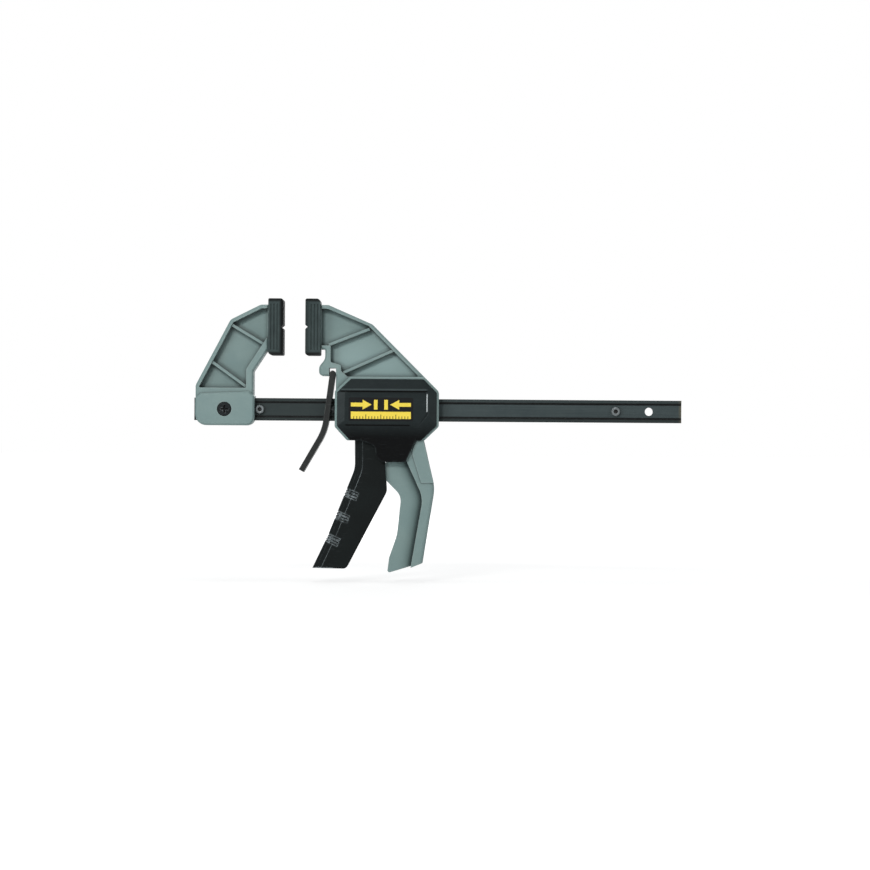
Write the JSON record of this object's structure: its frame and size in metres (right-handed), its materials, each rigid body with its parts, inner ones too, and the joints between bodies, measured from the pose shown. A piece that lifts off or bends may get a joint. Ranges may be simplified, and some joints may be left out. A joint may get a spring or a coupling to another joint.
{
  "type": "quick release bar clamp",
  "caption": "One-hand trigger bar clamp: a fixed jaw on a steel bar and a sliding jaw with a squeeze trigger, pistol handle and brake lever.",
  "frame": {"origin": "middle of the fixed jaw pad's clamping face", "axes": "+X along the bar from the fixed jaw to the free end, +Z from the bar to the jaw pads, +Y across the bar"},
  "size_m": [0.38, 0.04, 0.2126],
  "materials": {
    "moulding": "grey-green moulded glass-filled nylon, fine grain",
    "black_plastic": "near-black moulded plastic, satin",
    "pad_rubber": "charcoal rubber, matt",
    "bar_steel": "blackened steel, satin, worn on its edges",
    "lever_steel": "black coated steel",
    "bright_steel": "zinc plated steel",
    "dark_steel": "blackened screw and spring pin steel"
  },
  "bodies": {
    "fixed_end": {"bar": "bar_steel", "fixed_jaw": "moulding", "fixed_jaw_pad": "pad_rubber", "jaw_screw": "dark_steel", "jaw_washer": "bright_steel", "jaw_nut": "bright_steel", "front_stop_pin": "dark_steel", "rear_stop_pin": "dark_steel"},
    "carriage": {"moving_jaw": "moulding", "moving_jaw_pad": "pad_rubber", "front_cover": "black_plastic", "rear_cover": "black_plastic", "trigger_pin": "bright_steel", "drive_spring": "bright_steel", "brake_spring_left": "bright_steel", "brake_spring_right": "bright_steel"},
    "squeeze_trigger": {"trigger": "black_plastic"},
    "drive_plates": {"drive_plate_1": "bright_steel", "drive_plate_2": "bright_steel"},
    "release_lever": {"brake_lever": "lever_steel"}
  },
  "joints": [
    {"name": "jaw_slide", "type": "slide", "parent": "fixed_end", "child": "carriage", "axis": [1, 0, 0], "range_m": [-0.0168, 0.134]},
    {"name": "trigger_squeeze", "type": "hinge", "parent": "carriage", "child": "squeeze_trigger", "pos_m": [0.0715, 0, -0.0464], "axis": [0, -1, 0], "range_deg": [0, 14], "stiffness_Nm_per_rad": 2, "springref_deg": -17.19},
    {"name": "drive_plate_slide", "type": "slide", "parent": "carriage", "child": "drive_plates", "axis": [1, 0, 0], "range_m": [0, 0.0015], "deforming": ["drive_spring"]},
    {"name": "brake_release", "type": "hinge", "parent": "carriage", "child": "release_lever", "pos_m": [0.0384, 0, -0.0359], "axis": [0, -1, 0], "range_deg": [0, 5], "stiffness_Nm_per_rad": 1, "springref_deg": -11.46, "deforming": ["brake_spring_left", "brake_spring_right"]}
  ],
  "couplings": [
    {"joint": "drive_plate_slide", "follows": "trigger_squeeze", "m_per_rad": 0.0058}
  ]
}
